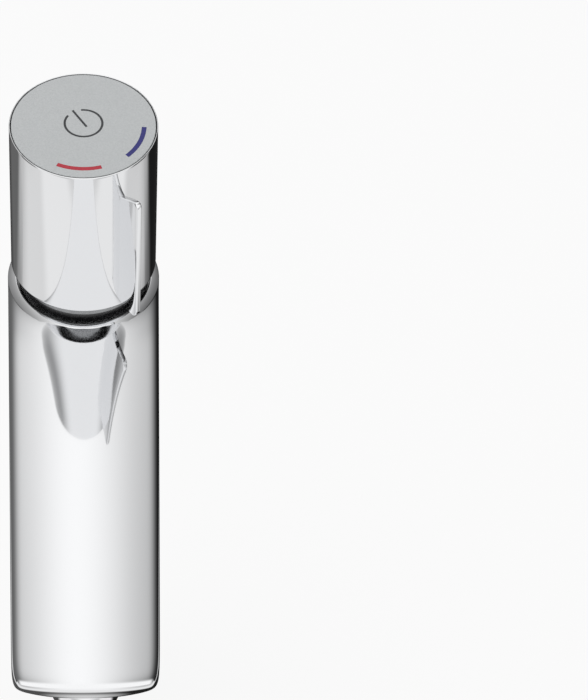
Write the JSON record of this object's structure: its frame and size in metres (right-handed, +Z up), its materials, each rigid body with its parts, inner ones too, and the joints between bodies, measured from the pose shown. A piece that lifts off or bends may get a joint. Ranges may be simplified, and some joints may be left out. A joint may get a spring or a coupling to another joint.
{
  "type": "basin mixer tap",
  "caption": "Chromed single-hole basin mixer tap with a tall rotary knob, thin fin lever, on/off push button in the knob's top and a wide sloping spout.",
  "frame": {"origin": "column axis at the face of the basin that the tap stands on", "axes": "+Z up along the column, -Y along the spout towards the user, +X to the user's right as they face the tap"},
  "size_m": [0.046, 0.1655, 0.258],
  "materials": {
    "chrome": "polished chrome plate",
    "satin_cap": "satin silver grey",
    "symbol_grey": "satin dark grey",
    "mark_red": "satin red",
    "mark_blue": "satin dark blue",
    "brass": "machined brass",
    "steel": "zinc-plated or stainless steel",
    "core_plastic": "black moulded plastic",
    "cartridge_plastic": "off-white moulded plastic",
    "disc_ceramic": "lapped alumina",
    "rubber": "matt black rubber"
  },
  "bodies": {
    "tap_body": {"body_casting": "chrome", "base_ring": "chrome", "base_seal": "rubber", "bonnet": "core_plastic", "bonnet_seal": "rubber", "cartridge_nut": "brass", "cartridge_housing": "cartridge_plastic", "cartridge_base": "cartridge_plastic", "inlet_seals": "rubber", "disc_seals": "rubber", "ceramic_disc_fixed": "disc_ceramic", "slip_ring": "cartridge_plastic", "valve_spring": "steel", "aerator_housing": "chrome", "aerator_insert": "cartridge_plastic", "aerator_mesh": "steel", "aerator_seal": "rubber", "fixing_stud": "steel", "clamp_seal": "rubber", "clamp_plate": "steel", "fixing_nut": "brass"},
    "knob": {"knob_sleeve": "chrome", "knob_core": "core_plastic", "knob_nut": "brass", "fin_lever": "chrome", "fin_pins": "steel", "spindle": "brass", "spindle_seals": "rubber", "limit_ring": "core_plastic", "ceramic_disc_rotor": "disc_ceramic", "button_spring": "steel"},
    "button": {"button_cap": "satin_cap", "power_ring": "symbol_grey", "power_bar": "symbol_grey", "hot_mark": "mark_red", "cold_mark": "mark_blue", "push_rod": "steel"},
    "valve": {"valve_plunger": "brass", "valve_seal": "rubber"}
  },
  "joints": [
    {"name": "knob_turn", "type": "hinge", "parent": "tap_body", "child": "knob", "pos_m": [0, 0, 0.1416], "axis": [0, 0, 1], "range_deg": [-81, 19]},
    {"name": "button_press", "type": "slide", "parent": "knob", "child": "button", "axis": [0, 0, -1], "range_m": [0, 0.003], "stiffness_N_per_m": 1500, "springref_m": -0.002, "deforming": ["button_spring"]},
    {"name": "valve_slide", "type": "slide", "parent": "tap_body", "child": "valve", "axis": [0, 0, -1], "range_m": [0, 0.003], "stiffness_N_per_m": 200, "springref_m": -0.002, "deforming": ["valve_spring"]}
  ],
  "couplings": [
    {"joint": "valve_slide", "follows": "button_press", "ratio": 1}
  ]
}
